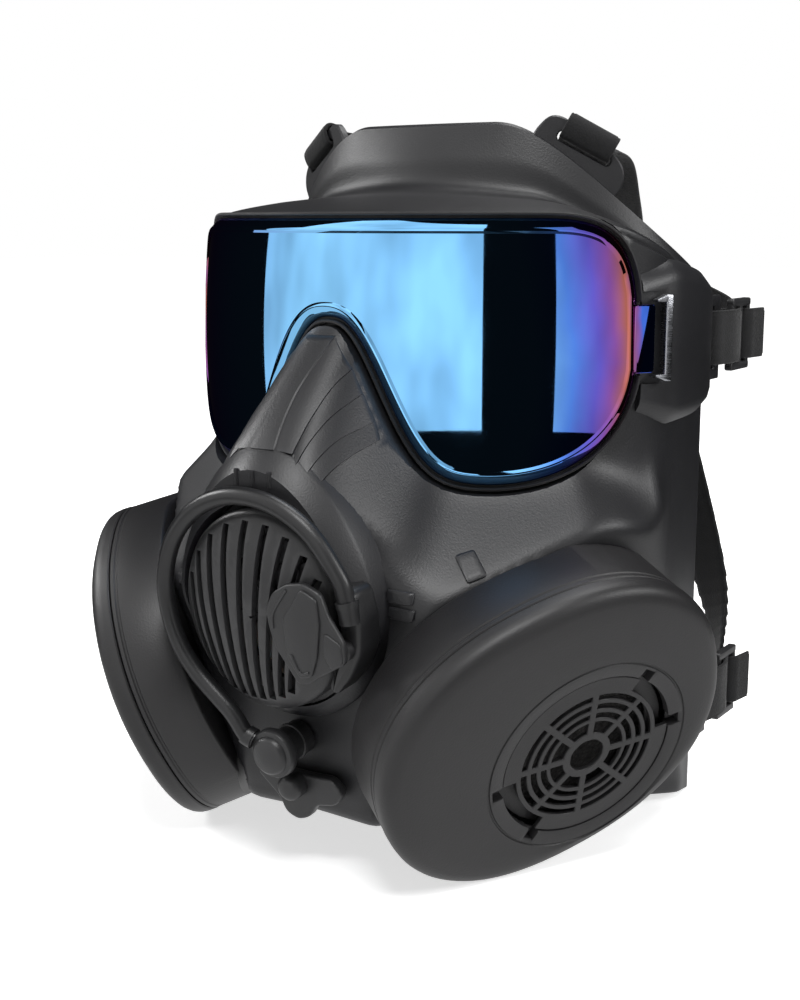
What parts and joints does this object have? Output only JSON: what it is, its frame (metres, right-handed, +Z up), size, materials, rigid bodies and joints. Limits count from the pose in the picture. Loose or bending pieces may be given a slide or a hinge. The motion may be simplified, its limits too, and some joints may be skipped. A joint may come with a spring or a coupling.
{
  "type": "full face respirator",
  "caption": "Full face respirator with a panoramic mirrored lens, side filters, an outlet module with a drinking tube, a nose cup and a head harness.",
  "frame": {"origin": "centre of the bounding box on the surface the mask stands on", "axes": "+X to the wearer's left, -Y forwards out of the mask, +Z up; the mask stands on its two filter rims and its jaw corners"},
  "size_m": [0.2378, 0.2446, 0.2509],
  "materials": {
    "shell_polymer": "satin black moulded polymer with a fine grain",
    "seal_rubber": "soft matt black elastomer",
    "hard_polymer": "satin black rigid polymer",
    "mirror_blue": "polished polycarbonate with a blue mirror coating",
    "clear_lens": "clear polished polycarbonate",
    "webbing": "ribbed woven nylon",
    "filter_paper": "dark charcoal-loaded filter paper",
    "carbon": "packed charcoal granules",
    "silicone": "translucent grey silicone",
    "steel": "bright spring steel"
  },
  "bodies": {
    "facepiece": {"facepiece_shell": "shell_polymer", "face_seal": "seal_rubber", "visor_frame": "seal_rubber", "inner_lens": "clear_lens", "lens_latch_left": "steel", "lens_latch_right": "steel", "nose_cup": "silicone", "outlet_body": "hard_polymer", "exhale_seat": "hard_polymer", "speech_diaphragm": "steel", "diaphragm_ring": "hard_polymer", "outlet_cover": "hard_polymer", "drink_tube": "hard_polymer", "lever_pivot": "hard_polymer", "coupling_body": "hard_polymer", "chin_plate": "hard_polymer", "head_pad": "webbing", "inlet_port_left": "hard_polymer", "inhale_seat_left": "hard_polymer", "upper_strap_left": "webbing", "temple_loop_left": "webbing", "temple_buckle_left": "hard_polymer", "temple_strap_left": "webbing", "jaw_loop_left": "webbing", "jaw_buckle_left": "hard_polymer", "jaw_strap_left": "webbing", "inlet_port_right": "hard_polymer", "inhale_seat_right": "hard_polymer", "upper_strap_right": "webbing", "temple_loop_right": "webbing", "temple_buckle_right": "hard_polymer", "temple_strap_right": "webbing", "jaw_loop_right": "webbing", "jaw_buckle_right": "hard_polymer", "jaw_strap_right": "webbing"},
    "lens": {"mirror_lens": "mirror_blue"},
    "exhale_flap": {"exhale_disc": "silicone"},
    "lever": {"drink_lever": "hard_polymer"},
    "knob": {"coupling_cap": "hard_polymer"},
    "filter_left": {"filter_housing_left": "hard_polymer", "particulate_pad_left": "filter_paper", "carbon_bed_left": "carbon"},
    "cap_left": {"filter_cap_left": "hard_polymer"},
    "grille_left": {"filter_grille_left": "hard_polymer"},
    "inhale_flap_left": {"inhale_disc_left": "silicone"},
    "filter_right": {"filter_housing_right": "hard_polymer", "particulate_pad_right": "filter_paper", "carbon_bed_right": "carbon"},
    "cap_right": {"filter_cap_right": "hard_polymer"},
    "grille_right": {"filter_grille_right": "hard_polymer"},
    "inhale_flap_right": {"inhale_disc_right": "silicone"}
  },
  "joints": [
    {"name": "lens_release", "type": "slide", "parent": "facepiece", "child": "lens", "axis": [0, -1, 0], "range_m": [0, 0.07]},
    {"name": "filter_release_left", "type": "slide", "parent": "facepiece", "child": "filter_left", "axis": [0.8193, -0.4498, -0.3555], "range_m": [0, 0.06]},
    {"name": "cap_release_left", "type": "slide", "parent": "filter_left", "child": "cap_left", "axis": [0.8193, -0.4498, -0.3555], "range_m": [0, 0.03]},
    {"name": "grille_turn_left", "type": "hinge", "parent": "cap_left", "child": "grille_left", "pos_m": [0.08783, -0.05382, 0.04501], "axis": [0.8193, -0.4498, -0.3555], "range_deg": [-10, 10]},
    {"name": "inhale_lift_left", "type": "slide", "parent": "facepiece", "child": "inhale_flap_left", "axis": [-0.8193, 0.4498, 0.3555], "range_m": [0, 0.0018], "stiffness_N_per_m": 30},
    {"name": "filter_release_right", "type": "slide", "parent": "facepiece", "child": "filter_right", "axis": [-0.8193, -0.4498, -0.3555], "range_m": [0, 0.06]},
    {"name": "cap_release_right", "type": "slide", "parent": "filter_right", "child": "cap_right", "axis": [-0.8193, -0.4498, -0.3555], "range_m": [0, 0.03]},
    {"name": "grille_turn_right", "type": "hinge", "parent": "cap_right", "child": "grille_right", "pos_m": [-0.08783, -0.05382, 0.04501], "axis": [-0.8193, -0.4498, -0.3555], "range_deg": [-10, 10]},
    {"name": "inhale_lift_right", "type": "slide", "parent": "facepiece", "child": "inhale_flap_right", "axis": [0.8193, 0.4498, 0.3555], "range_m": [0, 0.0018], "stiffness_N_per_m": 30},
    {"name": "exhale_lift", "type": "slide", "parent": "facepiece", "child": "exhale_flap", "axis": [0, -0.994, -0.1097], "range_m": [0, 0.0018], "stiffness_N_per_m": 30},
    {"name": "lever_turn", "type": "hinge", "parent": "facepiece", "child": "lever", "pos_m": [0.0348, -0.1182, 0.0854], "axis": [0, 0.994, 0.1097], "range_deg": [0, 60]},
    {"name": "knob_pull", "type": "slide", "parent": "facepiece", "child": "knob", "axis": [0, -0.994, -0.1097], "range_m": [0, 0.012]}
  ]
}
